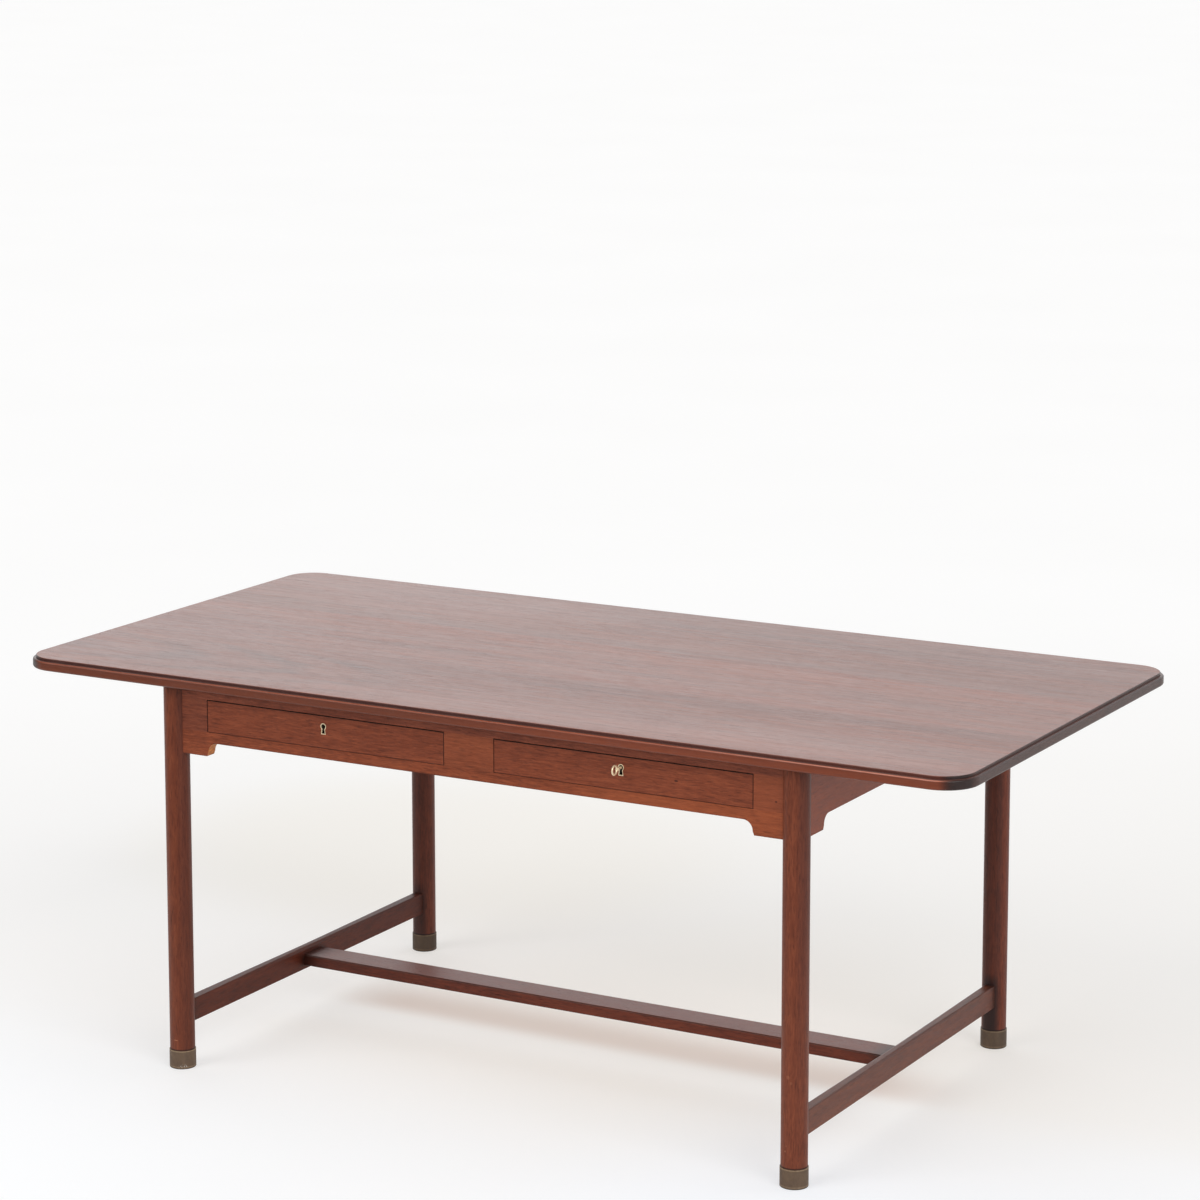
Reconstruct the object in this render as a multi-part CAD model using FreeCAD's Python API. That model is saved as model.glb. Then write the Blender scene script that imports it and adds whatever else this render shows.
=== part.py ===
import FreeCAD, Part
import os
import math

os.makedirs("parts", exist_ok=True)
V = FreeCAD.Vector

# ---------------------------------------------------------------------------
# Partners desk on four round legs, millimetres.
# X runs along the desk, -Y is the side that faces the viewer, +Z is up.
# Origin: centre of the desk's footprint, on the floor.
# ---------------------------------------------------------------------------

# tabletop
LENGTH = 1800.0            # along X
DEPTH = 900.0              # along Y
HEIGHT = 712.0             # floor to worktop
TOP_T = 22.0               # thickness of the top
CORNER_R = 60.0            # plan radius of the corners
STEP_IN = 5.8              # the upper fillet of the edge moulding stands back this far
STEP_H = 5.2               # and is this high
STEP_R = 1.5               # round on the worktop's arris
SHOULDER_R = 3.2           # round on the shoulder of the moulding
UNDER_R = 4.5              # round under the moulding
JOINT_Y = (-145.0, 132.0)   # the top's three solid boards meet at these lines

# legs and brass shoes
LEG_X, LEG_Y = 596.5, 402.0
LEG_R = 22.0
SHOE_R = 23.3
SHOE_H = 33.0
SHOE_FLOOR = 2.0
SHOE_EDGE_R = 1.2

# aprons
OUT = 10.0                 # apron face lies this far outside the leg axis
APRON_T = 21.0
Z_TOP = HEIGHT - TOP_T     # 690, underside of the top
Z_OPEN_HI = 668.0          # top of the drawer openings
Z_OPEN_LO = 610.5          # bottom of the drawer openings
Z_APRON = 592.0            # lower edge of the aprons between the brackets
Z_PAD = 568.0              # lower edge of the bracket ends
PAD_X = 526.5              # inner end of the front and back bracket ends
PAD_Y = 327.0              # inner end of the side bracket ends
CAV_Z = 574.8              # the hollow of the bracket springs from this height
CAV_LEAN = 2.7             # below it the bracket leans out this much
OPEN_X0, OPEN_X1 = 47.7, 524.8   # drawer openings either side of the centre stile

# stretchers
STR_T = 18.0
STR_Z0, STR_Z1 = 76.0, 116.5
STR_R_LEG, STR_R_MID = 1.2, 5.8  # the upper arrises grow rounder towards the middle
MID_HALF_W = 29.8
MID_Z0, MID_Z1 = 83.5, 103.9

# drawers
GAP_SIDE = 0.8
GAP_TOP = 1.4
GAP_BOTTOM = 0.5
FRONT_T = 18.0
SIDE_T = 8.0
SIDE_INSET = 0.6
SIDE_TOP = 665.0
BACK_TOP = 660.0
BOTTOM_Z0, BOTTOM_Z1 = 616.0, 621.0
DRAWER_END = 34.0          # the sides end this far before the desk's middle
TAIL_L = 12.0

# lock, escutcheon, key
KEY_X = (OPEN_X0 + OPEN_X1) / 2.0
KEY_Z = 648.5
ESC_R, ESC_IN_R = 5.65, 4.35
ESC_Z0 = 635.0
BOLT_TRAVEL = 6.5

# carcass inside
CENTRE_T = 20.0            # centre rail across the middle of the desk
RUNNER_H = 15.0

YF = LEG_Y + OUT           # 412, distance of the apron faces from the middle
YI = YF - APRON_T          # 391, their inner faces
XF = LEG_X + OUT           # 606.5
XI = XF - APRON_T          # 585.5
MX, MY = V(1, 0, 0), V(0, 1, 0)
ORI = V(0, 0, 0)


def box(x0, x1, y0, y1, z0, z1):
    return Part.makeBox(abs(x1 - x0), abs(y1 - y0), abs(z1 - z0),
                        V(min(x0, x1), min(y0, y1), min(z0, z1)))


def cyl(r, x, y, z0, z1):
    return Part.makeCylinder(r, z1 - z0, V(x, y, z0), V(0, 0, 1))


def ycyl(r, x, z, y0, y1):
    return Part.makeCylinder(r, y1 - y0, V(x, y0, z), V(0, 1, 0))


def flip_x(s):
    return s.mirror(ORI, MX)


def flip_y(s):
    return s.mirror(ORI, MY)


def fuse(shapes):
    out = shapes[0]
    for s in shapes[1:]:
        out = out.fuse(s)
    return out.removeSplitter()


def cut(s, tools):
    for t in tools:
        s = s.cut(t)
    return s


nodes = {}


def put(name, shape):
    """Keep one node: a solid, or a group of separate solids."""
    solids = shape if isinstance(shape, list) else [shape]
    flat = []
    for s in solids:
        flat += s.Solids
    nodes[name] = flat[0] if len(flat) == 1 else Part.makeCompound(flat)


# ---------------------------------------------------------------------------
# Tabletop: a slab with round corners and a stepped, rounded edge moulding,
# glued up from three wide solid boards whose grain runs along X
# ---------------------------------------------------------------------------

def round_slab(inset, z0, z1):
    hx, hy, r = LENGTH / 2 - inset, DEPTH / 2 - inset, CORNER_R - inset
    b = box(-hx, hx, -hy, hy, z0, z1)
    upright = [e for e in b.Edges if abs(e.Vertexes[0].X - e.Vertexes[-1].X) < 1e-6
               and abs(e.Vertexes[0].Y - e.Vertexes[-1].Y) < 1e-6]
    return b.makeFillet(r, upright)


def rim_edges(s, z):
    return [e for e in s.Edges if abs(e.BoundBox.ZMin - z) < 1e-4 and abs(e.BoundBox.ZMax - z) < 1e-4]


z_step = HEIGHT - STEP_H
lower = round_slab(0.0, Z_TOP, z_step)
lower = lower.makeFillet(UNDER_R, rim_edges(lower, Z_TOP))
lower = lower.makeFillet(SHOULDER_R, rim_edges(lower, z_step))
upper = round_slab(STEP_IN, z_step - 1.0, HEIGHT)
upper = upper.makeFillet(STEP_R, rim_edges(upper, HEIGHT))
slab = lower.fuse(upper).removeSplitter()

half_x = LENGTH / 2 + 10
board_front = slab.common(box(-half_x, half_x, -DEPTH, JOINT_Y[0], Z_TOP - 5, HEIGHT + 5))
board_middle = slab.common(box(-half_x, half_x, JOINT_Y[0], JOINT_Y[1], Z_TOP - 5, HEIGHT + 5))
board_back = slab.common(box(-half_x, half_x, JOINT_Y[1], DEPTH, Z_TOP - 5, HEIGHT + 5))

# ---------------------------------------------------------------------------
# Screws and wooden buttons that hold the top
# ---------------------------------------------------------------------------

def screw_up(x, y, z0, length, r_head=4.0, r=2.2):
    """Countersunk wood screw driven upwards, its head flush with z0."""
    head = Part.makeCone(r_head, r, 3.0, V(x, y, z0), V(0, 0, 1))
    tip = Part.makeCone(r, 0.4, 4.0, V(x, y, z0 + length - 4.0), V(0, 0, 1))
    return fuse([head, cyl(r, x, y, z0 + 2.999, z0 + length - 4.0), tip])


rail_screw_xy = [(sx * x, sy * (LEG_Y - 0.5)) for sx in (-1, 1) for x in (150.0, 430.0) for sy in (-1, 1)]
button_xy = [(sx * 572.0, y) for sx in (-1, 1) for y in (-260.0, -95.0, 95.0, 260.0)]
top_screws = [screw_up(x, y, Z_OPEN_HI + 2.0, 32.0) for x, y in rail_screw_xy]
top_screws += [screw_up(x, y, Z_TOP - 16.0, 29.0) for x, y in button_xy]
board_front, board_middle, board_back = [cut(b, top_screws) for b in (board_front, board_middle, board_back)]

buttons, button_slots = [], []
for x, y in button_xy:
    s = 1 if x > 0 else -1
    body = box(s * 560.0, s * (XI - 0.2), y - 14, y + 14, Z_TOP - 16.0, Z_TOP)
    tongue = box(s * (XI - 1.0), s * (XI + 5.0), y - 14, y + 14, Z_TOP - 16.0, Z_TOP - 10.0)
    buttons.append(cut(fuse([body, tongue]), [screw_up(x, y, Z_TOP - 16.0, 29.0)]))
    button_slots.append(box(s * (XI - 1.0), s * (XI + 6.0), y - 18, y + 18, Z_TOP - 16.2, Z_TOP - 9.8))

# ---------------------------------------------------------------------------
# Legs: plain round posts from inside the shoe to the underside of the top
# ---------------------------------------------------------------------------

leg = cyl(LEG_R, LEG_X, -LEG_Y, SHOE_FLOOR, Z_TOP)          # front right
leg_hole = cyl(LEG_R, LEG_X, -LEG_Y, -10, Z_TOP + 10)
leg_hole_back = cyl(LEG_R, LEG_X, LEG_Y, -10, Z_TOP + 10)

shoe = cyl(SHOE_R, LEG_X, -LEG_Y, 0, SHOE_H)
shoe = shoe.makeFillet(SHOE_EDGE_R, rim_edges(shoe, 0.0))
shoe = shoe.makeChamfer(0.45, rim_edges(shoe, SHOE_H))
shoe = shoe.cut(cyl(LEG_R, LEG_X, -LEG_Y, SHOE_FLOOR, SHOE_H + 5))
shoe_screw = screw_up(LEG_X, -LEG_Y, 0.4, 30.0, 3.6, 2.0)
sink = fuse([cyl(3.6, LEG_X, -LEG_Y, -1.0, 0.4 + 1e-3), shoe_screw])
shoe = shoe.cut(sink)
leg = leg.cut(shoe_screw)

# ---------------------------------------------------------------------------
# Side aprons, with bracket ends hollowed on their lower edge
# ---------------------------------------------------------------------------

def bracket_profile(end, pad, z_hi, point):
    """Closed face of a board whose lower edge drops to a bracket at both ends."""
    c = pad - CAV_LEAN                 # the hollow's foot
    r = Z_APRON - CAV_Z
    q = math.sqrt(0.5) * r
    pts = [point(-end, z_hi), point(end, z_hi), point(end, Z_PAD), point(pad, Z_PAD), point(c, CAV_Z)]
    edges = [Part.LineSegment(pts[i], pts[i + 1]).toShape() for i in range(4)]
    edges.append(Part.Arc(point(c, CAV_Z), point(c - r + q, CAV_Z + q), point(c - r, Z_APRON)).toShape())
    edges.append(Part.LineSegment(point(c - r, Z_APRON), point(-(c - r), Z_APRON)).toShape())
    edges.append(Part.Arc(point(-(c - r), Z_APRON), point(-(c - r + q), CAV_Z + q), point(-c, CAV_Z)).toShape())
    back = [point(-c, CAV_Z), point(-pad, Z_PAD), point(-end, Z_PAD), point(-end, z_hi)]
    edges += [Part.LineSegment(back[i], back[i + 1]).toShape() for i in range(3)]
    return Part.Face(Part.Wire(edges))


apron_right = bracket_profile(LEG_Y, PAD_Y, Z_TOP, lambda a, z: V(XI, a, z)).extrude(V(APRON_T, 0, 0))
apron_right = cut(apron_right, [leg_hole, leg_hole_back])
side_tenon = box(LEG_X - 4.5, LEG_X + 3.5, -(LEG_Y - 22.0) - 15.0 + 8.0, -(LEG_Y - 30.0), 580.0, 680.0)
apron_right = fuse([apron_right, side_tenon, flip_y(side_tenon)])

# ---------------------------------------------------------------------------
# Front frame: top rail, bracketed bottom rail, two end stiles, centre stile
# ---------------------------------------------------------------------------

def legs_off(s):
    return cut(s, [leg_hole, flip_x(leg_hole)])


tn0, tn1 = -(LEG_Y + 3.5), -(LEG_Y - 4.5)                   # tenons' faces in Y
top_rail = legs_off(box(-LEG_X, LEG_X, -YF, -YI, Z_OPEN_HI, Z_TOP))
t = box(LEG_X - 24.0, LEG_X - 7.0, tn0, tn1, Z_OPEN_HI + 3, Z_TOP - 3)
top_tenons = [t, flip_x(t)]
top_rail = fuse([top_rail] + top_tenons)

bottom_rail = bracket_profile(LEG_X, PAD_X, Z_OPEN_LO, lambda a, z: V(a, -YF, z)).extrude(V(0, APRON_T, 0))
bottom_rail = legs_off(bottom_rail)
t = box(LEG_X - 24.0, LEG_X - 7.0, tn0, tn1, 573.0, 606.0)
bottom_tenons = [t, flip_x(t)]
bottom_rail = fuse([bottom_rail] + bottom_tenons)

end_stile = legs_off(box(OPEN_X1, LEG_X, -YF, -YI, Z_OPEN_LO, Z_OPEN_HI))
end_tenons = [box(538.0, 562.0, tn0, tn1, Z_OPEN_LO - 6.0, Z_OPEN_LO + 1), box(538.0, 562.0, tn0, tn1, Z_OPEN_HI - 1, Z_OPEN_HI + 6.0)]
end_stile = fuse([end_stile] + end_tenons)
centre_stile = box(-OPEN_X0, OPEN_X0, -YF, -YI, Z_OPEN_LO, Z_OPEN_HI)
centre_tenons = [box(-30, 30, tn0, tn1, Z_OPEN_LO - 6.0, Z_OPEN_LO + 1), box(-30, 30, tn0, tn1, Z_OPEN_HI - 1, Z_OPEN_HI + 6.0)]
centre_stile = fuse([centre_stile] + centre_tenons)
top_rail = cut(top_rail, [end_stile, flip_x(end_stile), centre_stile])
bottom_rail = cut(bottom_rail, [end_stile, flip_x(end_stile), centre_stile])
# slots in the top rail for the lock bolts, and holes for the top screws
bolt_slot = box(KEY_X - 9.3, KEY_X + 9.3, -399.2, -395.3, Z_OPEN_HI - 1, Z_OPEN_HI + 8.0)
top_rail = cut(top_rail, [bolt_slot, flip_x(bolt_slot)])
for x, y in rail_screw_xy:
    if y < 0:
        top_rail = top_rail.cut(fuse([screw_up(x, y, Z_OPEN_HI + 2.0, 32.0), cyl(4.0, x, y, Z_OPEN_HI - 1, Z_OPEN_HI + 2.001)]))

# ---------------------------------------------------------------------------
# Stretchers: one across each end, and a flat one between their middles
# ---------------------------------------------------------------------------

half = box(LEG_X - STR_T / 2, LEG_X + STR_T / 2, 0, LEG_Y, STR_Z0, STR_Z1)
upper_arrises = [e for e in half.Edges if abs(e.BoundBox.ZMin - STR_Z1) < 1e-6 and e.BoundBox.YLength > 300]
starts_mid = upper_arrises[0].valueAt(upper_arrises[0].FirstParameter).y < 1.0
ra, rb = (STR_R_MID, STR_R_LEG) if starts_mid else (STR_R_LEG, STR_R_MID)
half = half.makeFillet(ra, rb, upper_arrises)
low = [e for e in half.Edges if abs(e.BoundBox.ZMin - STR_Z0) < 1e-6 and abs(e.BoundBox.ZMax - STR_Z0) < 1e-6 and e.BoundBox.YLength > 300]
half = half.makeFillet(1.0, low)
half = half.cut(leg_hole_back)
str_tenon = box(LEG_X - 5, LEG_X + 5, LEG_Y - 30.0, LEG_Y - 8.0, STR_Z0 + 6, STR_Z1 - 7)
half = half.fuse(str_tenon).removeSplitter()
stretcher_right = half.fuse(flip_y(half)).removeSplitter()

mid_len = LEG_X - STR_T / 2
middle = box(-mid_len, mid_len, -MID_HALF_W, MID_HALF_W, MID_Z0, MID_Z1)
longs = [e for e in middle.Edges if e.BoundBox.XLength > 1000]
middle = middle.makeFillet(2.4, [e for e in longs if e.BoundBox.ZMin > MID_Z1 - 1])
longs = [e for e in middle.Edges if e.BoundBox.XLength > 1000 and abs(e.BoundBox.ZMin - MID_Z0) < 1e-6 and abs(e.BoundBox.ZMax - MID_Z0) < 1e-6]
middle = middle.makeFillet(1.4, longs)
mt = box(mid_len - 1, mid_len + 11.0, -20, 20, MID_Z0 + 4.5, MID_Z1 - 5.0)
middle = fuse([middle, mt, flip_x(mt)])
stretcher_right = stretcher_right.cut(middle)

# the legs are mortised for every tenon
leg = cut(leg, [apron_right, top_rail, bottom_rail, flip_y(stretcher_right)])

# ---------------------------------------------------------------------------
# Inside the carcass: centre rail, runners, guides, kickers, stops
# ---------------------------------------------------------------------------

centre_rail = box(-(XI + 6.0), XI + 6.0, -CENTRE_T / 2, CENTRE_T / 2, Z_APRON + 2.0, Z_TOP)
apron_right = cut(apron_right, [centre_rail] + button_slots)

z_run = Z_OPEN_LO - 0.2
y_run = YI + 6.0                                            # housed 6 mm into the bottom rail
runner_outer = box(505.0, 545.0, -y_run, -CENTRE_T / 2, z_run - RUNNER_H, z_run)
runner_centre = box(-68.0, 68.0, -y_run, -CENTRE_T / 2, z_run - RUNNER_H, z_run)
bottom_rail = cut(bottom_rail, [runner_outer, flip_x(runner_outer), runner_centre])
runners = [runner_outer, flip_x(runner_outer), runner_centre]
runners += [flip_y(r) for r in runners]

guide_outer = box(524.8, 541.0, -YI, -CENTRE_T / 2, z_run, z_run + 26.0)
guide_centre = box(-47.7, 47.7, -YI, -CENTRE_T / 2, z_run, z_run + 26.0)
guides = [guide_outer, flip_x(guide_outer), guide_centre]
guides += [flip_y(g) for g in guides]

kicker_outer = box(505.0, 545.0, -YI, -CENTRE_T / 2, Z_OPEN_HI, Z_TOP)
kicker_centre = box(-68.0, 68.0, -YI, -CENTRE_T / 2, Z_OPEN_HI, Z_TOP)
kickers = [kicker_outer, flip_x(kicker_outer), kicker_centre]
kickers += [flip_y(s) for s in kickers]

stop_a = box(509.0, 523.0, -(DRAWER_END - 0.3), -CENTRE_T / 2, z_run, z_run + 22.0)
stop_b = box(49.5, 63.5, -(DRAWER_END - 0.3), -CENTRE_T / 2, z_run, z_run + 22.0)
stops = [stop_a, stop_b, flip_x(stop_a), flip_x(stop_b)]
stops += [flip_y(s) for s in stops]

# ---------------------------------------------------------------------------
# One drawer, front right; the other three are its mirror images
# ---------------------------------------------------------------------------

dx0, dx1 = OPEN_X0 + GAP_SIDE, OPEN_X1 - GAP_SIDE
dz0, dz1 = Z_OPEN_LO + GAP_BOTTOM, Z_OPEN_HI - GAP_TOP
front = box(dx0, dx1, -YF, -YF + FRONT_T, dz0, dz1)
front = front.makeFillet(0.5, [e for e in front.Edges if abs(e.BoundBox.YMin + YF) < 1e-6 and abs(e.BoundBox.YMax + YF) < 1e-6])

y_back_of_front = -YF + FRONT_T
s_in0 = dx0 + SIDE_INSET


def tail(zc, x0):
    """One dovetail on the front end of a drawer side."""
    a, b = 6.4, 8.6
    ye = y_back_of_front - TAIL_L
    pts = [V(x0, y_back_of_front, zc - a), V(x0, ye, zc - b), V(x0, ye, zc + b), V(x0, y_back_of_front, zc + a), V(x0, y_back_of_front, zc - a)]
    return Part.Face(Part.makePolygon(pts)).extrude(V(SIDE_T, 0, 0))


side_h = SIDE_TOP - dz0


def drawer_side(x0):
    board = box(x0, x0 + SIDE_T, y_back_of_front, -DRAWER_END, dz0, SIDE_TOP)
    rear = [e for e in board.Edges if e.BoundBox.XLength > SIDE_T - 0.1 and abs(e.BoundBox.YMin + DRAWER_END) < 1e-6 and e.BoundBox.ZMin > SIDE_TOP - 1]
    board = board.makeFillet(6.0, rear)
    return fuse([board, tail(dz0 + side_h * 0.27, x0), tail(dz0 + side_h * 0.75, x0)])


side_l = drawer_side(s_in0)
side_r = drawer_side(dx1 - SIDE_INSET - SIDE_T)
dback = box(s_in0 + SIDE_T - 4.0, dx1 - SIDE_INSET - SIDE_T + 4.0, -46.0, -38.0, BOTTOM_Z1, BACK_TOP)
dbottom = box(s_in0 + SIDE_T - 3.0, dx1 - SIDE_INSET - SIDE_T + 3.0, y_back_of_front - 4.0, -37.0, BOTTOM_Z0, BOTTOM_Z1)
side_l = cut(side_l, [dback, dbottom])
side_r = cut(side_r, [dback, dbottom])


def keyhole(r, half_neck, half_foot, z_foot, y0, y1):
    """Round head with a slot that flares towards its foot."""
    pts = [V(KEY_X - half_neck, y0, KEY_Z), V(KEY_X - half_foot, y0, z_foot), V(KEY_X + half_foot, y0, z_foot), V(KEY_X + half_neck, y0, KEY_Z), V(KEY_X - half_neck, y0, KEY_Z)]
    slot = Part.Face(Part.makePolygon(pts)).extrude(V(0, y1 - y0, 0))
    return fuse([ycyl(r, KEY_X, KEY_Z, y0, y1), slot])


LOCK_Y0, LOCK_Y1 = -403.6, y_back_of_front
esc_outer = keyhole(ESC_R, 2.5, 4.7, ESC_Z0, -YF - 0.15, LOCK_Y0)
esc_inner = keyhole(ESC_IN_R, 1.5, 3.4, ESC_Z0 + 1.3, -YF - 1.0, LOCK_Y0 + 1.0)
escutcheon = esc_outer.cut(esc_inner)

case_out = fuse([box(KEY_X - 20, KEY_X + 20, LOCK_Y0, LOCK_Y1, 632.0, dz1 - 1.5), box(KEY_X - 24, KEY_X + 24, LOCK_Y0 - 1.0, LOCK_Y1, dz1 - 1.5, dz1)])
case_in = box(KEY_X - 18.8, KEY_X + 18.8, LOCK_Y0 + 1.2, LOCK_Y1 - 1.2, 633.2, dz1 - 1.5)
bolt_hole = box(KEY_X - 8.8, KEY_X + 8.8, -399.1, -395.4, dz1 - 2.0, dz1 + 1)
lock_case = cut(case_out, [case_in, bolt_hole, keyhole(ESC_IN_R, 1.5, 3.4, ESC_Z0 + 1.3, LOCK_Y0 - 0.5, LOCK_Y0 + 1.5)])
bolt = box(KEY_X - 8.5, KEY_X + 8.5, -398.9, -395.6, 652.0, dz1)
bolt = bolt.makeFillet(0.6, [e for e in bolt.Edges if e.BoundBox.ZMin > dz1 - 1e-3])
front = cut(front, [side_l, side_r, dbottom, case_out, keyhole(ESC_R, 2.5, 4.7, ESC_Z0, -YF - 2.0, LOCK_Y0 + 0.5)])

# key: round shank with a bit, a collar and an open ring bow
key_shank = ycyl(2.1, KEY_X, KEY_Z, -426.4, -399.3)
key_bit = box(KEY_X - 1.15, KEY_X + 1.15, -402.2, -399.4, KEY_Z - 7.6, KEY_Z - 1.0)
key_collar = ycyl(3.2, KEY_X, KEY_Z, -424.4, -421.8)
key_collar = key_collar.makeFillet(0.8, [e for e in key_collar.Edges if e.BoundBox.YLength < 1e-6])
key_bow = Part.makeTorus(7.4, 1.5, V(KEY_X, -433.2, KEY_Z), V(1, 0, 0))
key = fuse([key_shank, key_bit, key_collar, key_bow])

# ---------------------------------------------------------------------------
# Nodes
# ---------------------------------------------------------------------------

put("top_board_front", board_front)
put("top_board_middle", board_middle)
put("top_board_back", board_back)
put("top_screws", top_screws)
put("top_buttons", buttons)

put("leg_front_right", leg)
put("leg_front_left", flip_x(leg))
put("leg_back_right", flip_y(leg))
put("leg_back_left", flip_x(flip_y(leg)))
put("leg_shoes", [shoe, flip_x(shoe), flip_y(shoe), flip_x(flip_y(shoe))])
put("shoe_screws", [shoe_screw, flip_x(shoe_screw), flip_y(shoe_screw), flip_x(flip_y(shoe_screw))])

put("apron_right", apron_right)
put("apron_left", flip_x(apron_right))
for side, f in (("front", lambda s: s), ("back", flip_y)):
    put("top_rail_" + side, f(top_rail))
    put("bottom_rail_" + side, f(bottom_rail))
    put("centre_stile_" + side, f(centre_stile))
put("end_stiles", [end_stile, flip_x(end_stile), flip_y(end_stile), flip_x(flip_y(end_stile))])

put("stretcher_right", stretcher_right)
put("stretcher_left", flip_x(stretcher_right))
put("stretcher_middle", middle)

put("centre_rail", centre_rail)
put("drawer_runners", runners)
put("drawer_guides", guides)
put("drawer_kickers", kickers)
put("drawer_stops", stops)

for name, f in (("front_right", lambda s: s), ("front_left", flip_x), ("back_right", flip_y), ("back_left", lambda s: flip_x(flip_y(s)))):
    put("drawer_%s_front" % name, f(front))
    put("drawer_%s_sides" % name, [f(side_l), f(side_r)])
    put("drawer_%s_back" % name, f(dback))
    put("drawer_%s_bottom" % name, f(dbottom))
    put("escutcheon_" + name, f(escutcheon))
    put("lock_case_" + name, f(lock_case))
    put("lock_bolt_" + name, f(bolt))
put("key", key)

for name in sorted(nodes):
    s = nodes[name]
    bad = [x for x in s.Solids if not x.isValid() or x.Volume <= 0]
    print("%-28s solids %d  volume %.1f cm3  %s" % (name, len(s.Solids), s.Volume / 1000.0, "BAD" if bad or not s.Solids else "ok"))
    s.exportStep("parts/%s.step" % name)
print(len(nodes), "nodes")
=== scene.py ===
import math

import bpy
from mathutils import Matrix, Vector

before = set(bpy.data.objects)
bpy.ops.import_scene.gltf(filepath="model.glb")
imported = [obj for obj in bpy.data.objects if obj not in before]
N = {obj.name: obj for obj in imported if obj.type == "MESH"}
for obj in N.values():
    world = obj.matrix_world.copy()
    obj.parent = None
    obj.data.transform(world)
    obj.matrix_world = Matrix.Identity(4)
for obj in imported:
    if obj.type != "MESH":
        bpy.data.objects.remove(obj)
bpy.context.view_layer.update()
scene = bpy.context.scene

# ---------------------------------------------------------------------------
# Camera: the photograph's viewpoint, solved on the desk's edges
# ---------------------------------------------------------------------------
CAM_F, CAM_CX, CAM_CY = 3684.03, 536.43, 425.70
CAM_C = (3.06938, -5.47038, 2.10211)
CAM_YAW, CAM_PITCH, CAM_ROLL = (math.radians(a) for a in (30.15, -8.83, -0.18))


def make_camera():
    data = bpy.data.cameras.new("camera")
    data.sensor_fit = "HORIZONTAL"
    data.sensor_width = 36.0
    data.lens = CAM_F / 1200.0 * 36.0
    data.shift_x = (600.0 - CAM_CX) / 1200.0
    data.shift_y = (CAM_CY - 600.0) / 1200.0
    data.clip_start, data.clip_end = 0.05, 400.0
    f = Vector((-math.sin(CAM_YAW) * math.cos(CAM_PITCH), math.cos(CAM_YAW) * math.cos(CAM_PITCH), math.sin(CAM_PITCH)))
    r = Vector((math.cos(CAM_YAW), math.sin(CAM_YAW), 0.0))
    u = r.cross(f)
    c, s = math.cos(CAM_ROLL), math.sin(CAM_ROLL)
    r2, u2 = c * r + s * u, -s * r + c * u
    m = Matrix.Identity(4)
    for i in range(3):
        m[i][0], m[i][1], m[i][2], m[i][3] = r2[i], u2[i], -f[i], CAM_C[i]
    cam = bpy.data.objects.new("camera", data)
    scene.collection.objects.link(cam)
    cam.matrix_world = m
    scene.camera = cam


make_camera()

# ---------------------------------------------------------------------------
# Small node-tree writer
# ---------------------------------------------------------------------------


class Tree:
    def __init__(self, tree):
        self.t = tree
        self.t.nodes.clear()

    def put(self, sock, value):
        if value is None:
            return
        if isinstance(value, bpy.types.NodeSocket):
            self.t.links.new(value, sock)
        else:
            sock.default_value = value

    def node(self, kind, **props):
        n = self.t.nodes.new(kind)
        for k, v in props.items():
            setattr(n, k, v)
        return n

    def math(self, op, a, b=None, c=None, clamp=False):
        n = self.node("ShaderNodeMath", operation=op, use_clamp=clamp)
        for i, v in enumerate((a, b, c)):
            self.put(n.inputs[i], v)
        return n.outputs[0]

    def vmath(self, op, a, b=None, scale=None):
        n = self.node("ShaderNodeVectorMath", operation=op)
        self.put(n.inputs[0], a)
        self.put(n.inputs[1], b)
        if scale is not None:
            self.put(n.inputs["Scale"], scale)
        return n.outputs["Value"] if op in ("LENGTH", "DOT_PRODUCT", "DISTANCE") else n.outputs[0]

    def xyz(self, v):
        n = self.node("ShaderNodeSeparateXYZ")
        self.put(n.inputs[0], v)
        return n.outputs[0], n.outputs[1], n.outputs[2]

    def join(self, x, y, z):
        n = self.node("ShaderNodeCombineXYZ")
        for i, v in enumerate((x, y, z)):
            self.put(n.inputs[i], v)
        return n.outputs[0]

    def noise(self, vec, scale=1.0, detail=2.0, rough=0.5, dist=0.0):
        n = self.node("ShaderNodeTexNoise", noise_dimensions="3D")
        self.put(n.inputs["Vector"], vec)
        self.put(n.inputs["Scale"], scale)
        self.put(n.inputs["Detail"], detail)
        self.put(n.inputs["Roughness"], rough)
        self.put(n.inputs["Distortion"], dist)
        return n.outputs[0]

    def ramp(self, fac, stops, mode="LINEAR"):
        n = self.node("ShaderNodeValToRGB")
        n.color_ramp.interpolation = mode
        e = n.color_ramp.elements
        while len(e) < len(stops):
            e.new(0.5)
        for i, (p, c) in enumerate(stops):
            e[i].position = p
            e[i].color = c if hasattr(c, "__len__") and len(c) == 4 else ((*c, 1.0) if hasattr(c, "__len__") else (c, c, c, 1.0))
        self.put(n.inputs[0], fac)
        return n.outputs[0]

    def span(self, v, a, b, c=0.0, d=1.0, smooth=True):
        """Maps a..b to c..d, clamped."""
        n = self.node("ShaderNodeMapRange", interpolation_type="SMOOTHSTEP" if smooth else "LINEAR")
        for i, x in enumerate((v, a, b, c, d)):
            self.put(n.inputs[i], x)
        return n.outputs[0]

    def mix(self, fac, a, b, blend="MIX"):
        n = self.node("ShaderNodeMix", data_type="RGBA", blend_type=blend)
        self.put(n.inputs[0], fac)
        self.put(n.inputs[6], a if isinstance(a, bpy.types.NodeSocket) else (*a, 1.0))
        self.put(n.inputs[7], b if isinstance(b, bpy.types.NodeSocket) else (*b, 1.0))
        return n.outputs[2]

    def mixf(self, fac, a, b):
        n = self.node("ShaderNodeMix", data_type="FLOAT")
        self.put(n.inputs[0], fac)
        self.put(n.inputs[2], a)
        self.put(n.inputs[3], b)
        return n.outputs[0]


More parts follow.
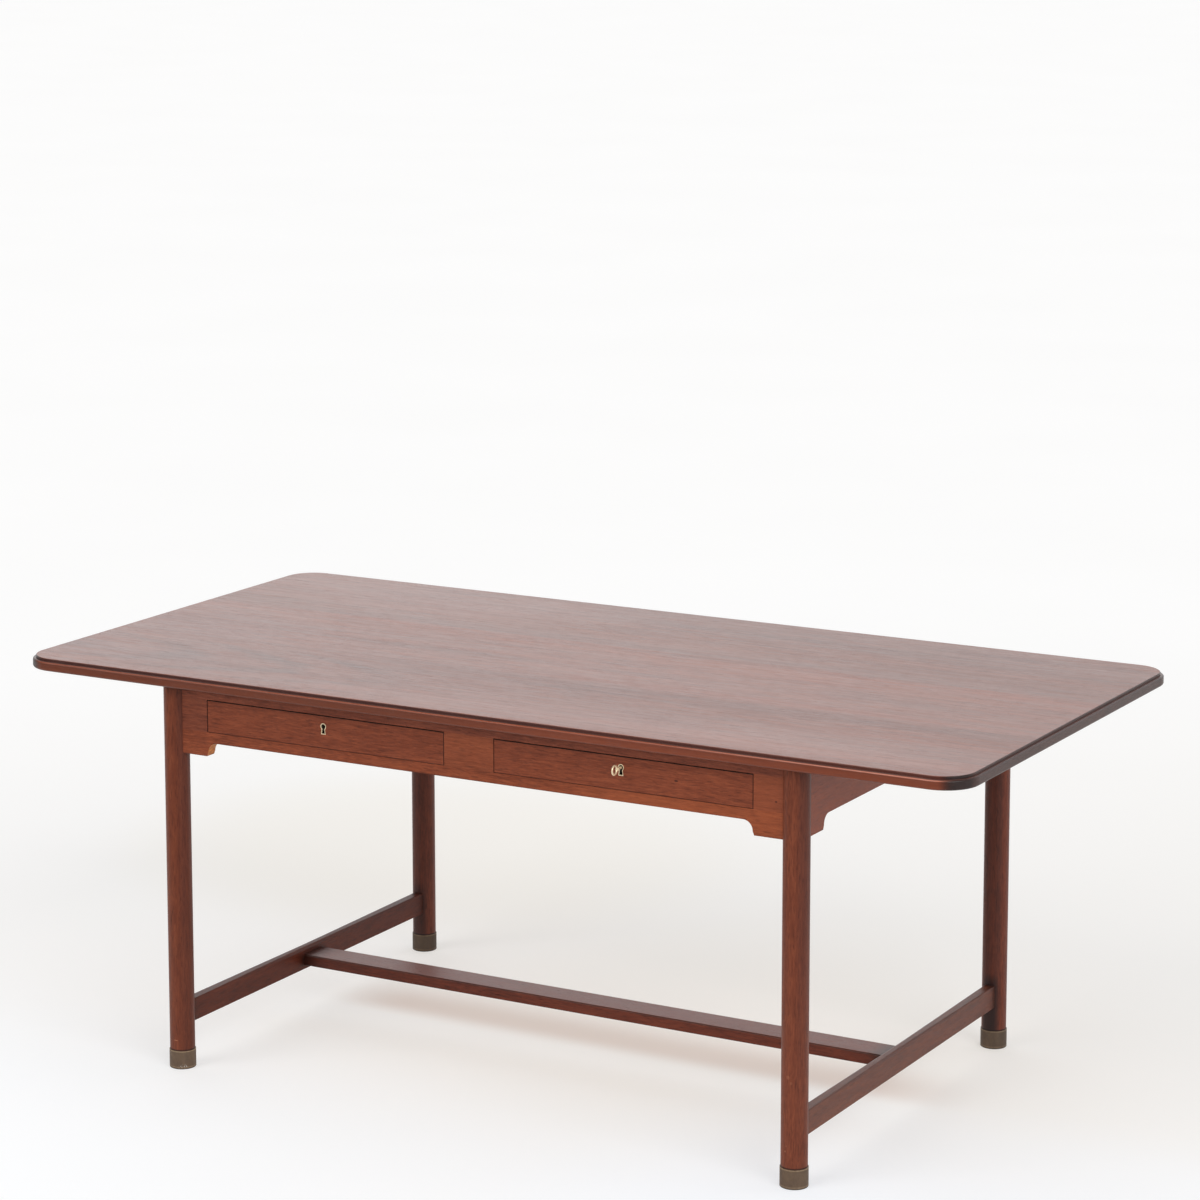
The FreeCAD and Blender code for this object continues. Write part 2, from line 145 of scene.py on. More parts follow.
def new_material(name):
    m = bpy.data.materials.new(name)
    m.use_nodes = True
    return m, Tree(m.node_tree)


def finish_material(t, base, rough, bump=None, metallic=0.0, ior=1.5, coat=0.0, coat_rough=0.1, spec=0.5, extra=None):
    p = t.node("ShaderNodeBsdfPrincipled")
    t.put(p.inputs["Base Color"], base)
    t.put(p.inputs["Roughness"], rough)
    t.put(p.inputs["Metallic"], metallic)
    p.inputs["IOR"].default_value = ior
    p.inputs["Specular IOR Level"].default_value = spec
    p.inputs["Coat Weight"].default_value = coat
    p.inputs["Coat Roughness"].default_value = coat_rough
    for k, v in (extra or {}).items():
        t.put(p.inputs[k], v)
    if bump is not None:
        height, strength, distance = bump
        b = t.node("ShaderNodeBump")
        b.inputs["Strength"].default_value = strength
        b.inputs["Distance"].default_value = distance
        t.put(b.inputs["Height"], height)
        t.put(p.inputs["Normal"], b.outputs[0])
    o = t.node("ShaderNodeOutputMaterial")
    t.t.links.new(p.outputs[0], o.inputs[0])


# ---------------------------------------------------------------------------
# Wood. Every board is cut from a 3D field whose grain runs along one axis:
# growth bands, ribbon stripe, fibres, pores, board tone, end grain.
# ---------------------------------------------------------------------------


def spot(t, x, y, z, centre, radii, hard=0.35):
    """1 inside an ellipsoid about a point of the object, fading to 0 at its skin."""
    q = None
    for v, c, r in zip((x, y, z), centre, radii):
        d = t.math("DIVIDE", t.math("SUBTRACT", v, c), r)
        d = t.math("MULTIPLY", d, d)
        q = d if q is None else t.math("ADD", q, d)
    return t.span(q, hard, 1.0, 1.0, 0.0)


def wood(name, axis, dark, mid, light, seed, rough=0.40, figure=0.7, pores=1.0, ribbon=0.5, fleck=1.0, ior=1.5,
         end_tint=(0.45, 0.42, 0.42), end_from=0.25, spec=0.28, flame=None, marks=None, tone=None, drift_k=0.25,
         streak=(16.0, 135.0, 0.55), cloud=0.06, still=1.0, side_fleck=None, painted_sheen=None, cool=0.0, edge_rough=0.0, dash_col=None,
         long_grain=1.0, dashes=0.42, end_to=0.75):
    m, t = new_material(name)
    obj = t.node("ShaderNodeTexCoord").outputs["Object"]
    x, y, z = t.xyz(obj)
    a, b, c = {"X": (x, y, z), "Y": (y, x, z), "Z": (z, x, y)}[axis]   # a runs along the grain
    sx, sy, sz = seed
    a0, b0, c0 = t.math("ADD", a, sx), t.math("ADD", b, sy), t.math("ADD", c, sz)

    def stretched(sa, sb, sc):
        return t.join(t.math("MULTIPLY", a0, sa), t.math("MULTIPLY", b0, sb), t.math("MULTIPLY", c0, sc))

    # slow wander of the grain, so that no line runs dead straight
    wander = t.math("SUBTRACT", t.noise(stretched(1.3, 3.0, 3.0), 1.0, 2.0, 0.5), 0.5)
    wb = t.math("MULTIPLY_ADD", wander, 0.035 * still, b0)
    wc = t.math("MULTIPLY_ADD", wander, 0.02 * still, c0)
    nx, ny, nz = t.xyz(t.node("ShaderNodeTexCoord").outputs["Normal"])

    def field(sa, sb, sc, detail, roughness=0.55, dist=0.0):
        v = t.join(t.math("MULTIPLY", a0, sa / long_grain), t.math("MULTIPLY", wb, sb), t.math("MULTIPLY", wc, sc))
        return t.noise(v, 1.0, detail, roughness, dist)

    def centred(v):
        return t.math("SUBTRACT", v, 0.5)

    bands = field(0.9, 17.0, 17.0, 3.0, 0.55, 0.25)          # broad growth bands
    stripes = field(2.2, 60.0, 60.0, 2.0, 0.6, 0.1)          # ribbon stripe, 10 to 20 mm
    mottle = field(streak[0], streak[1], streak[1], 2.0, 0.6, 0.3)       # short streaks
    fibre = field(30.0, 330.0, 330.0, 2.0, 0.6)              # fibres, 2 to 4 mm
    fine = field(70.0, 900.0, 900.0, 2.0, 0.6)               # fine grain, about 1 mm
    pore = field(90.0, 2300.0, 2300.0, 1.0, 0.5)
    pore_m = t.span(pore, 0.58, 0.70)
    dash = t.span(field(62.0, 520.0, 520.0, 1.0, 0.5), 0.57, 0.71)       # clustered pores, short dark dashes
    gleam = t.span(field(48.0, 410.0, 410.0, 1.0, 0.5), 0.57, 0.74)      # bundles of fibre that catch the light

    v = t.math("MULTIPLY_ADD", centred(bands), 0.8 * figure, 0.5)
    v = t.math("MULTIPLY_ADD", centred(stripes), 0.55 * ribbon, v)
    small = t.math("MULTIPLY", centred(mottle), streak[2] * fleck)
    small = t.math("MULTIPLY_ADD", centred(fibre), 0.75 * fleck, small)
    small = t.math("MULTIPLY_ADD", centred(fine), 0.60 * fleck, small)
    if side_fleck is not None:     # a board whose edges show a quieter figure than its face
        small = t.math("MULTIPLY", small, t.span(nz, 0.35, 0.92, side_fleck, 1.0))
    v = t.math("ADD", v, small)
    if flame is not None:
        v = t.math("ADD", v, flame(t, x, y, a0, wb))
    col = t.ramp(v, [(0.12, dark), (0.50, mid), (0.90, light)])
    # slow drift of tone along and across the board
    drift = t.noise(stretched(0.7, 2.6, 2.6), 1.0, 2.0, 0.5)
    col = t.mix(t.span(drift, 0.3, 0.7, 0.0, drift_k), col, tuple(0.55 * d + 0.45 * q for d, q in zip(dark, mid)))
    col = t.mix(t.math("MULTIPLY", gleam, 0.32 * fleck), col, tuple(1.12 * q for q in light))
    col = t.mix(t.math("MULTIPLY", dash, dashes * pores), col, dash_col or tuple(0.60 * d for d in dark))
    col = t.mix(t.math("MULTIPLY", pore_m, 0.40 * pores), col, tuple(0.42 * d for d in dark))
    up = t.span(nz, 0.55, 0.92)
    if cool:                       # broad bands that are greyer and ones that are pinker
        k = t.span(field(0.9, 15.0, 15.0, 2.0, 0.55, 0.2), 0.38, 0.62, 0.0, cool)
        col = t.mix(t.math("MULTIPLY", k, up), col, (0.275, 0.245, 0.250))
    if painted_sheen is not None:           # painted sheen: raised fibre glints pale on upward faces, more towards the left end; hollows stay clear
        g = t.math("MULTIPLY", field(16.0, 125.0, 125.0, 1.0), 0.34)
        g = t.math("MULTIPLY_ADD", field(30.0, 210.0, 210.0, 1.0), 0.36, g)
        g = t.math("MULTIPLY_ADD", field(70.0, 400.0, 400.0, 1.0), 0.30, g)
        g = t.math("MULTIPLY", t.span(g, 0.41, 0.61, 0.0, painted_sheen, smooth=False), t.span(x, -0.9, 0.9, 1.08, 0.88))
        col = t.mix(t.math("MULTIPLY", g, up), col, (0.47, 0.395, 0.380))
    if tone is not None:
        col = tone(t, x, y, z, col)
    # end grain: the grain's own direction against the surface's, in plan, so that an arris goes with its face
    na, nb, nc = {"X": (nx, ny, nz), "Y": (ny, nx, nz), "Z": (nz, nx, ny)}[axis]
    cross = t.math("ABSOLUTE", nb) if axis != "Z" else t.math("SQRT", t.math("MULTIPLY_ADD", nb, nb, t.math("MULTIPLY", nc, nc)))
    turn = t.math("DIVIDE", t.math("ABSOLUTE", na), t.math("ADD", t.math("ADD", t.math("ABSOLUTE", na), cross), 0.001))
    end = t.math("MULTIPLY", t.span(turn, end_from, end_to), t.span(t.math("ABSOLUTE", na), 0.10, 0.30))
    dots = t.noise(t.vmath("MULTIPLY", obj, (1300.0, 1300.0, 1300.0)), 1.0, 1.0, 0.5)
    rings = t.noise(t.join(t.math("MULTIPLY", b0, 90.0), t.math("MULTIPLY", c0, 520.0), t.math("MULTIPLY", a0, 3.0)), 1.0, 2.0, 0.5)
    e0 = tuple(e * q for e, q in zip(end_tint, mid))
    end_col = t.mix(t.span(rings, 0.30, 0.68, 0.0, 1.0), tuple(1.25 * q for q in e0), tuple(0.62 * q for q in e0))
    end_col = t.mix(t.span(dots, 0.52, 0.66, 0.0, 0.5), end_col, tuple(0.45 * q for q in e0))
    col = t.mix(end, col, end_col)
    if marks is not None:
        col = marks(t, x, y, z, col)
    r = t.math("MULTIPLY_ADD", centred(fibre), 0.16, rough)
    r = t.math("MULTIPLY_ADD", pore_m, 0.14, r)
    r = t.math("MULTIPLY_ADD", centred(t.noise(stretched(2.2, 9.0, 9.0), 1.0, 3.0, 0.6)), cloud, r)
    if edge_rough:
        r = t.math("MULTIPLY_ADD", t.math("SUBTRACT", 1.0, up), edge_rough, r)
    h = t.math("MULTIPLY_ADD", pore_m, -0.8, t.math("MULTIPLY", fibre, 0.45))
    h = t.math("MULTIPLY_ADD", dash, -0.7, h)
    h = t.math("MULTIPLY_ADD", fine, 0.25, h)
    finish_material(t, col, r, bump=(h, 0.45, 0.00015), ior=ior, spec=spec)
    return m


# palette, scene linear
DARK = (0.098, 0.0225, 0.0105)
MID = (0.205, 0.0490, 0.0220)
LIGHT = (0.300, 0.0790, 0.0340)


def shade(c, k, r=1.0, g=1.0, b=1.0):
    return (c[0] * k * r, c[1] * k * g, c[2] * k * b)


def trio(k, r=1.0, g=1.0, b=1.0):
    return shade(DARK, k, r, g, b), shade(MID, k, r, g, b), shade(LIGHT, k, r, g, b)


def flame_front_left(t, x, y, a0, wb):
    """Nested parabolas of a flat-sawn board, their tips to the right."""
    yy = t.math("DIVIDE", t.math("ADD", y, 0.300), 0.085)
    f = t.math("ADD", t.math("DIVIDE", t.math("ADD", x, 0.20), 0.16), t.math("MULTIPLY", yy, yy))
    wob = t.noise(t.join(t.math("MULTIPLY", x, 5.0), t.math("MULTIPLY", y, 16.0), 3.0), 1.0, 3.0, 0.6)
    s = t.math("SINE", t.math("MULTIPLY_ADD", wob, 4.0, t.math("MULTIPLY", f, 4.6)))
    s = t.math("POWER", t.math("MULTIPLY_ADD", s, 0.5, 0.5), 2.2)
    mask = t.math("MULTIPLY", t.span(x, -0.90, -0.70, 0.6, 1.0), t.span(x, -0.45, -0.02, 1.0, 0.0))
    mask = t.math("MULTIPLY", mask, t.span(t.math("ABSOLUTE", t.math("ADD", y, 0.300)), 0.06, 0.15, 1.0, 0.0))
    return t.math("MULTIPLY", t.math("MULTIPLY", s, mask), -0.3)


# Where the boards of the worktop run darker, redder or greyer: centre x, y, half length, half width, strength
SHADOWY, RUDDY, GREYED, BLEACHED = (0.085, 0.028, 0.024), (0.36, 0.072, 0.026), (0.235, 0.135, 0.130), (0.55, 0.31, 0.27)
TOP_FIGURE = [
    (SHADOWY, 0.05, -0.182, 0.62, 0.040, 0.28), (SHADOWY, 0.62, -0.175, 0.40, 0.030, 0.19),
    (SHADOWY, -0.30, -0.040, 0.34, 0.030, 0.23), (SHADOWY, 0.58, -0.015, 0.18, 0.024, 0.26),
    (SHADOWY, 0.10, 0.335, 0.95, 0.020, 0.19), (SHADOWY, 0.66, 0.385, 0.34, 0.034, 0.30),
    (SHADOWY, 0.60, 0.195, 0.42, 0.060, 0.21), (SHADOWY, -0.10, 0.250, 0.70, 0.022, 0.14),
    (SHADOWY, 0.30, -0.345, 0.40, 0.022, 0.09),
    (BLEACHED, 0.25, -0.375, 1.00, 0.080, 0.30), (BLEACHED, -0.55, 0.330, 0.60, 0.160, 0.28), (BLEACHED, 0.70, -0.330, 0.40, 0.120, 0.16),
    (RUDDY, 0.62, 0.100, 0.42, 0.030, 0.27), (RUDDY, 0.42, -0.122, 0.60, 0.026, 0.31),
    (RUDDY, 0.70, -0.265, 0.30, 0.026, 0.19), (RUDDY, 0.66, -0.415, 0.42, 0.026, 0.20),
    (RUDDY, -0.35, 0.118, 0.55, 0.020, 0.16), (RUDDY, 0.35, 0.045, 0.30, 0.030, 0.17),
    (GREYED, -0.74, -0.060, 0.30, 0.120, 0.30), (GREYED, -0.66, -0.330, 0.34, 0.070, 0.22),
    (GREYED, -0.55, 0.300, 0.40, 0.070, 0.16),
]


def top_figure(t, x, y, z, col):
    frayed = t.noise(t.join(t.math("MULTIPLY", x, 3.0), t.math("MULTIPLY", y, 70.0), 1.7), 1.0, 3.0, 0.6)
    frayed = t.span(frayed, 0.34, 0.62, 0.35, 1.0)
    for tint, cx, cy, rx, ry, k in TOP_FIGURE:
        m = spot(t, x, y, z, (cx, cy, 0.712), (rx, ry, 0.2), 0.0)
        col = t.mix(t.math("MULTIPLY", t.math("MULTIPLY", m, frayed), k), col, tint)
    return col


def quirk(t, x, y, z, col):
    """Old polish, dust and painted shade in the corner of the edge moulding: everything between its ledge and the
    worktop's arris is darker. The board is also a little paler towards the left end."""
    nz = t.xyz(t.node("ShaderNodeTexCoord").outputs["Normal"])[2]
    col = top_figure(t, x, y, z, col)
    face = t.span(nz, 0.30, 0.80, 1.0, 0.0)
    col = t.mix(t.math("MULTIPLY", face, 0.65), col, (0.168, 0.037, 0.0155))
    # the edge face is darker from a little below the bead upwards
    col = t.mix(t.math("MULTIPLY", t.math("MULTIPLY", face, t.span(z, 0.6945, 0.7030)), 0.22), col, (0.085, 0.018, 0.009))
    # painted shade: the edge faces are darker towards the left end
    col = t.mix(t.math("MULTIPLY", t.math("MULTIPLY", face, t.span(x, -0.20, 0.30, 1.0, 0.0)), 0.26), col, (0.010, 0.016, 0.013))
    # painted highlight: a bright orange line along the bead, stronger towards the right
    bead_highlight = t.math("MULTIPLY", t.span(z, 0.7040, 0.7050), t.span(z, 0.7056, 0.7062, 1.0, 0.0))
    col = t.mix(t.math("MULTIPLY", bead_highlight, t.span(x, -0.70, 0.10, 0.30, 0.50)), col, (0.41, 0.070, 0.010))
    # painted highlight: paler still towards the right end
    col = t.mix(t.math("MULTIPLY", t.math("MULTIPLY", bead_highlight, t.span(x, 0.25, 0.80)), 0.45), col, (0.80, 0.36, 0.27))
    # dust and painted shade: the quirk's riser and ledge are dark, a little less so towards the right
    riser = t.math("MULTIPLY", t.span(z, 0.7058, 0.7067), t.span(nz, 0.30, 0.62, 1.0, 0.0))
    ledge = t.math("MULTIPLY", t.span(z, 0.7060, 0.7067), t.span(z, 0.7070, 0.7074, 1.0, 0.0))
    col = t.mix(t.math("MULTIPLY", t.math("MAXIMUM", riser, ledge), t.span(x, 0.0, 0.9, QUIRK_DIRT_AND_SHADE, QUIRK_DIRT_AND_SHADE - 0.20)), col, (0.044, 0.014, 0.013))
    # painted highlight: a pale line along the worktop's own arris
    arris_reflection = t.math("MULTIPLY", t.span(nz, 0.72, 0.86), t.span(nz, 0.975, 0.998, 1.0, 0.0))
    arris_reflection = t.math("MULTIPLY", arris_reflection, t.span(z, 0.7098, 0.7106))
    col = t.mix(t.math("MULTIPLY", arris_reflection, 0.40), col, (0.60, 0.40, 0.36))
    # painted shade: the lower rounding of the edge and the underside are darker
    underside_shade = t.span(z, 0.6900, 0.6935, 1.0, 0.0)
    return t.mix(t.math("MULTIPLY", underside_shade, 0.35), col, (0.060, 0.014, 0.008))


def corner_marks(t, x, y, z, col):
    """The rounded corners, where long grain turns into end grain, have drunk the most stain."""
    nx, ny, nz = t.xyz(t.node("ShaderNodeTexCoord").outputs["Normal"])
    nx, ny = t.math("ABSOLUTE", nx), t.math("ABSOLUTE", ny)
    turn = t.math("DIVIDE", nx, t.math("ADD", t.math("ADD", nx, ny), 0.001))
    k = t.math("MULTIPLY", t.math("MULTIPLY", t.span(turn, 0.22, 0.42), t.span(turn, 0.66, 0.86, 1.0, 0.0)), t.span(nz, 0.45, 0.75, 1.0, 0.0))
    return t.mix(t.math("MULTIPLY", k, 0.70), col, (0.010, 0.006, 0.006))


QUIRK_DIRT_AND_SHADE = 0.78
top_kw = dict(rough=0.30, pores=1.1, figure=0.68, ribbon=0.72, fleck=0.9, end_tint=(0.18, 0.19, 0.25), spec=0.42, tone=quirk,
              streak=(12.0, 115.0, 0.8), cloud=0.03, drift_k=0.16, still=0.35, side_fleck=0.55, painted_sheen=0.20, cool=0.15, edge_rough=0.03,
              dash_col=(0.040, 0.022, 0.024), long_grain=2.2, dashes=0.26, end_from=0.18, end_to=0.48, marks=corner_marks)


LEG_AXIS_Y = 0.402


def leg_marks(scratches, joint=0.55, flank_shade=None):
    def marks(t, x, y, z, col):
        # wax and dust where the leg enters its shoe
        col = t.mix(t.math("MULTIPLY", t.span(z, 0.0345, 0.0360, 1.0, 0.0), 0.8), col, (0.022, 0.008, 0.006))
        ragged = t.span(t.noise(t.join(t.math("MULTIPLY", x, 900.0), 0.0, t.math("MULTIPLY", z, 1500.0)), 1.0, 2.0, 0.6), 0.38, 0.56)
        for centre, radii, strength in scratches:
            k = t.math("MULTIPLY", t.math("MULTIPLY", spot(t, x, y, z, centre, radii), ragged), strength)
            col = t.mix(k, col, (0.45, 0.18, 0.095))
        if flank_shade is not None:      # painted shade: the leg's right flank is darker, more so higher up
            axis_x, low, high = flank_shade
            k = t.math("MULTIPLY", t.span(t.math("SUBTRACT", x, axis_x), 0.001, 0.021), t.span(z, 0.12, 0.52, low, high))
            col = t.mix(k, col, (0.050, 0.010, 0.007))
        # dirt and painted shade on the leg's inner side, strongest up to just above each side stretcher and half as
        # strong higher up
        q = t.math("SUBTRACT", LEG_AXIS_Y, t.math("ABSOLUTE", y))
        near = t.math("MULTIPLY", t.span(q, 0.012, 0.021), t.span(t.math("SUBTRACT", z, 0.1165), 0.0, 0.045, 1.0, 0.0))
        below = t.math("MULTIPLY", t.span(q, 0.010, 0.020), t.span(z, 0.060, 0.077))
        col = t.mix(t.math("MULTIPLY", t.math("MAXIMUM", near, t.math("MULTIPLY", below, 0.5)), joint), col, (0.012, 0.006, 0.006))
        return col
    return marks


def stretcher_marks(t, x, y, z, col):
    # dirt and painted shade where the side stretchers enter the legs, and a painted dark reflection along both upper
    # arrises
    k = t.span(t.math("ABSOLUTE", y), 0.362, 0.381)
    col = t.mix(t.math("MULTIPLY", k, 0.6), col, (0.028, 0.010, 0.007))
    # dirt and painted shade also round the joint with the middle stretcher, on the inner faces
    inner = t.span(t.math("ABSOLUTE", x), 0.5877, 0.5890, 1.0, 0.0)
    q = t.math("SUBTRACT", t.math("ABSOLUTE", y), 0.0298)
    pool_dirt_and_shade = t.math("MULTIPLY", t.span(q, 0.002, 0.020, 1.0, 0.0), t.math("MULTIPLY", t.span(z, 0.078, 0.090), t.span(z, 0.096, 0.112, 1.0, 0.0)))
    col = t.mix(t.math("MULTIPLY", t.math("MULTIPLY", inner, pool_dirt_and_shade), 0.8), col, (0.010, 0.006, 0.006))
    nz = t.xyz(t.node("ShaderNodeTexCoord").outputs["Normal"])[2]
    # painted dark reflection along the upper arrises
    arris_reflection = t.math("MULTIPLY", t.span(nz, 0.10, 0.40), t.span(nz, 0.93, 0.995, 1.0, 0.0))
    return t.mix(t.math("MULTIPLY", arris_reflection, 0.18), col, (0.034, 0.009, 0.006))


def middle_marks(t, x, y, z, col):
    # its upper face is paler, and a painted dark reflection runs along both arrises
    nz = t.xyz(t.node("ShaderNodeTexCoord").outputs["Normal"])[2]
    col = t.mix(t.math("MULTIPLY", t.span(nz, 0.70, 0.95), 0.30), col, (0.27, 0.062, 0.030))
    arris_reflection = t.math("MULTIPLY", t.span(t.math("ABSOLUTE", nz), 0.08, 0.35), t.span(t.math("ABSOLUTE", nz), 0.80, 0.97, 1.0, 0.0))
    col = t.mix(t.math("MULTIPLY", arris_reflection, 0.65), col, (0.030, 0.009, 0.006))
    # painted shade: darker towards both ends, where they meet the side stretchers
    k = t.span(t.math("ABSOLUTE", x), 0.535, 0.586)
    col = t.mix(t.math("MULTIPLY", k, 0.75), col, (0.020, 0.007, 0.005))
    k = t.math("MULTIPLY", t.span(x, -0.60, -0.26, 1.0, 0.0), t.span(nz, 0.20, 0.60, 1.0, 0.0))
    col = t.mix(t.math("MULTIPLY", k, 0.34), col, (0.028, 0.008, 0.006))
    return t.mix(t.math("MULTIPLY", spot(t, x, y, z, (-0.405, -0.020, 0.1039), (0.004, 0.002, 0.004)), 0.6), col, (0.30, 0.13, 0.08))


DRAWER_Z0, DRAWER_Z1 = 0.6110, 0.6666      # heights of the drawer fronts' lower and upper edges
DRAWER_X0, DRAWER_X1 = 0.0485, 0.5240      # their ends nearest to and farthest from the middle


def drawer_marks(t, x, y, z, col):
    # dirt and painted shade along the upper edge and the lower edge of the fronts, and at their ends, where the gaps
    # are
    rim = t.math("MAXIMUM", t.span(z, DRAWER_Z1 - 0.0012, DRAWER_Z1 - 0.0002), t.span(z, DRAWER_Z0 + 0.0002, DRAWER_Z0 + 0.0012, 1.0, 0.0))
    q = t.math("ABSOLUTE", x)
    ends = t.math("MAXIMUM", t.span(q, DRAWER_X1 - 0.0012, DRAWER_X1 - 0.0003), t.span(q, DRAWER_X0 + 0.0003, DRAWER_X0 + 0.0012, 1.0, 0.0))
    rim = t.math("MULTIPLY", t.math("MAXIMUM", rim, t.math("MULTIPLY", ends, 0.75)), t.span(t.math("ABSOLUTE", y), 0.4040, 0.4085))
    col = t.mix(t.math("MULTIPLY", rim, 0.85), col, (0.016, 0.006, 0.005))
    col = t.mix(t.math("MULTIPLY", spot(t, x, y, z, (0.3869, -0.412, 0.6390), (0.0042, 0.02, 0.0020)), 0.75), col, (0.020, 0.007, 0.007))
    return t.mix(t.math("MULTIPLY", spot(t, x, y, z, (0.2520, -0.412, 0.6360), (0.010, 0.02, 0.0022)), 0.30), col, (0.05, 0.014, 0.009))


def low_rail_marks(t, x, y, z, col):
    # redder and deeper in the middle; paler towards the right end, as painted light
    mid = t.math("MULTIPLY", t.span(x, -0.50, -0.10), t.span(x, 0.05, 0.25, 1.0, 0.0))
    col = t.mix(t.math("MULTIPLY", mid, 0.05), col, (0.085, 0.021, 0.011))
    # dirt along the lower arris
    q = t.math("ABSOLUTE", x)
    low = t.math("MAXIMUM", t.span(z, 0.5682, 0.5698, 1.0, 0.0), t.math("MULTIPLY", t.span(z, 0.5922, 0.5938, 1.0, 0.0), t.span(q, 0.512, 0.514, 1.0, 0.0)))
    col = t.mix(t.math("MULTIPLY", low, 0.55), col, (0.045, 0.013, 0.008))
    left = t.span(x, -0.60, -0.50, 1.0, 0.0)
    col = t.mix(t.math("MULTIPLY", left, 0.16), col, (0.060, 0.015, 0.009))
    # painted light: the right end is paler and oranger
    return t.mix(t.math("MULTIPLY", t.math("MULTIPLY", t.span(x, 0.12, 0.36), t.span(x, 0.36, 0.56, 1.0, 0.62)), 0.27), col, (0.40, 0.098, 0.030))


def stile_marks(t, x, y, z, col):
    # dirt and painted shade on the arrises beside the drawers
    q = t.math("ABSOLUTE", x)
    gap_edge_dirt_and_shade = t.math("MAXIMUM", t.math("MULTIPLY", t.span(q, 0.5248, 0.5256, 1.0, 0.0), t.span(q, 0.30, 0.31)), t.math("MULTIPLY", t.span(q, 0.0469, 0.0477), t.span(q, 0.30, 0.31, 1.0, 0.0)))
    gap_edge_dirt_and_shade = t.math("MULTIPLY", gap_edge_dirt_and_shade, t.span(t.math("ABSOLUTE", y), 0.4040, 0.4085))
    col = t.mix(t.math("MULTIPLY", gap_edge_dirt_and_shade, 0.7), col, (0.020, 0.007, 0.006))
    # painted light and shade: the right end stile is paler and the left end stile darker; the centre stile is a little
    # oranger
    col = t.mix(t.math("MULTIPLY", t.span(x, 0.30, 0.50), 0.34), col, (0.36, 0.086, 0.030))
    col = t.mix(t.math("MULTIPLY", t.span(x, -0.50, -0.30, 1.0, 0.0), 0.17), col, (0.05, 0.014, 0.012))
    col = t.mix(t.math("MULTIPLY", t.span(t.math("ABSOLUTE", x), 0.05, 0.10, 1.0, 0.0), 0.14), col, (0.38, 0.086, 0.018))
    return t.mix(t.math("MULTIPLY", spot(t, x, y, z, (0.5648, -0.412, 0.6274), (0.0026, 0.02, 0.0020)), 0.7), col, (0.030, 0.010, 0.008))


FL_MARKS = [((-0.5955, -0.4240, 0.0520), (0.0052, 0.004, 0.0010), 0.8)]
FR_MARKS = [((0.5950, -0.4240, 0.1850), (0.0034, 0.004, 0.0040), 0.35), ((0.5905, -0.4230, 0.0620), (0.0016, 0.004, 0.0022), 0.6),
            ((0.5925, -0.4235, 0.0710), (0.0013, 0.004, 0.0016), 0.4), ((0.6005, -0.4235, 0.1760), (0.0022, 0.004, 0.0030), 0.25)]

mats = {}
mats["top_front"] = wood("mahogany_top_front", "X", *trio(1.27), (3.1, 0.4, 0.2), flame=flame_front_left, **top_kw)
mats["top_middle"] = wood("mahogany_top_middle", "X", *trio(1.36), (7.7, 2.9, 1.3), **top_kw)
mats["top_back"] = wood("mahogany_top_back", "X", *trio(1.22, 1.0, 1.08, 1.15), (12.3, 5.1, 2.2), **top_kw)
mats["rail_top"] = wood("mahogany_rail", "X", *trio(1.02, 1.0, 1.02, 1.12), (1.7, 8.2, 4.4))
# painted reflection: the end grain on the brackets' cut faces is pale golden
mats["rail_bottom"] = wood("mahogany_rail_low", "X", *trio(1.08, 1.06, 1.0, 0.84), (5.2, 3.6, 9.4), end_tint=(2.3, 3.6, 2.4), marks=low_rail_marks)
mats["drawer"] = wood("mahogany_drawer_front", "X", *trio(0.98, 1.01, 0.95, 0.87), (9.9, 1.2, 6.1), figure=0.55, ribbon=0.38, marks=drawer_marks)
mats["stile"] = wood("mahogany_stile", "X", *trio(0.98), (4.1, 6.3, 2.7), marks=stile_marks)
leg_kw = dict(pores=1.1, fleck=1.05, figure=0.6, ribbon=0.45)
back_leg_kw = dict(pores=1.2, fleck=1.0, figure=0.5, ribbon=0.4)
mats["leg_front_left"] = wood("mahogany_leg_front_left", "Z", *trio(0.75, 1.02, 0.98, 0.93), (2.4, 4.8, 7.9), marks=leg_marks(FL_MARKS, flank_shade=(-0.5965, 0.36, 0.44)), **leg_kw)
mats["leg_front_right"] = wood("mahogany_leg_front_right", "Z", *trio(0.87), (6.4, 1.8, 3.9), marks=leg_marks(FR_MARKS, flank_shade=(0.5965, 0.10, 0.52)), **leg_kw)
# painted shade: the back legs are darker copies of the leg wood, for the shade under the top
mats["leg_back_left"] = wood("mahogany_leg_back_left", "Z", *trio(0.60, 1.0, 0.9, 0.88), (9.4, 3.8, 1.9), marks=leg_marks([], 0.7), **back_leg_kw)
mats["leg_back_right"] = wood("mahogany_leg_back_right", "Z", *trio(0.68, 1.0, 0.9, 0.92), (3.9, 9.8, 5.9), marks=leg_marks([], 0.9), **back_leg_kw)
mats["apron"] = wood("mahogany_side_apron", "Y", *trio(1.05, 1.10, 1.02, 1.0), (6.6, 9.1, 3.3), figure=0.5, ribbon=0.3, fleck=0.7, pores=0.7)
mats["stretcher"] = wood("mahogany_stretcher", "Y", *trio(0.66, 0.92, 0.98, 1.0), (8.3, 1.9, 5.7), marks=stretcher_marks, spec=0.35)
